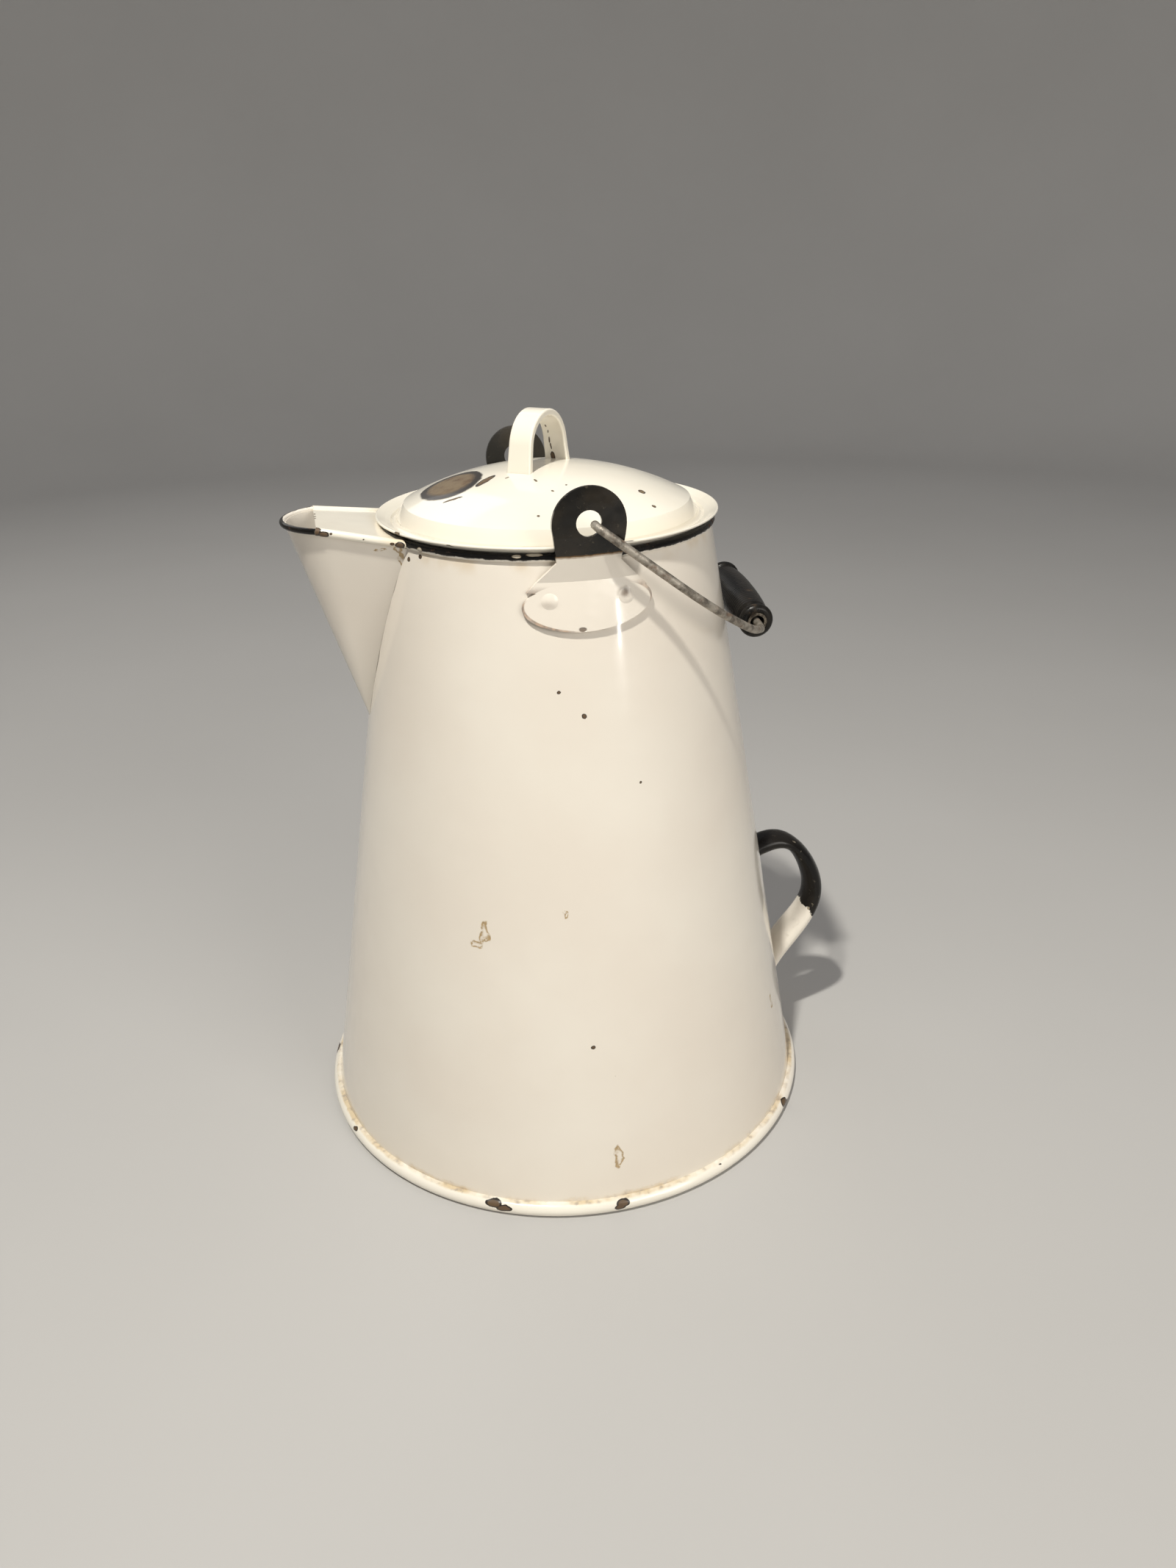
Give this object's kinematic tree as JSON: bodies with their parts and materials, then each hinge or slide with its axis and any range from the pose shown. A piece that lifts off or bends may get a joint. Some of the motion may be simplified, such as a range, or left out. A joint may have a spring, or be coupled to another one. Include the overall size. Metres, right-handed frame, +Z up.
{
  "type": "enamelled coffee boiler",
  "caption": "Tapered enamelled steel coffee boiler with a covered lip spout, loose domed lid, wire bail with a wooden grip and a rear tipping handle.",
  "frame": {"origin": "centre of the foot, on the plane the kettle stands on", "axes": "+Z up, spout towards -X, rear handle towards +X, bail ears at -Y and +Y"},
  "size_m": [0.3134, 0.29, 0.395],
  "materials": {
    "white_enamel": "glossy vitreous enamel, chipped",
    "black_enamel": "glossy vitreous enamel, chipped",
    "wire_steel": "dull worn wire",
    "painted_wood": "worn black paint on turned wood",
    "eyelet_steel": "dull tinned steel"
  },
  "bodies": {
    "kettle": {"body_shell": "white_enamel", "bottom_plate": "white_enamel", "foot_bead": "white_enamel", "top_rim_bead": "black_enamel", "rim_wire": "wire_steel", "spout_shell": "white_enamel", "spout_lip_bead": "black_enamel", "spout_cover": "white_enamel", "spout_strainer": "white_enamel", "ear_plate_near": "black_enamel", "ear_plate_far": "black_enamel", "ear_rivets": "white_enamel", "rear_handle": "black_enamel", "rear_handle_foot": "white_enamel"},
    "bail": {"bail_wire": "wire_steel"},
    "grip": {"bail_grip": "painted_wood", "grip_ferrules": "eyelet_steel"},
    "lid": {"lid_shell": "white_enamel", "lid_collar": "white_enamel", "lid_strap": "white_enamel"}
  },
  "joints": [
    {"name": "bail_swing", "type": "hinge", "parent": "kettle", "child": "bail", "pos_m": [0.0034, 0, 0.3554], "axis": [0, -1, 0], "range_deg": [0, 209]},
    {"name": "grip_spin", "type": "hinge", "parent": "bail", "child": "grip", "pos_m": [0.10686, 0, 0.28796], "axis": [0.0997, 0.9934, 0.0576], "continuous": true},
    {"name": "lid_lift", "type": "slide", "parent": "kettle", "child": "lid", "axis": [0, 0, 1], "range_m": [0, 0.06]}
  ]
}
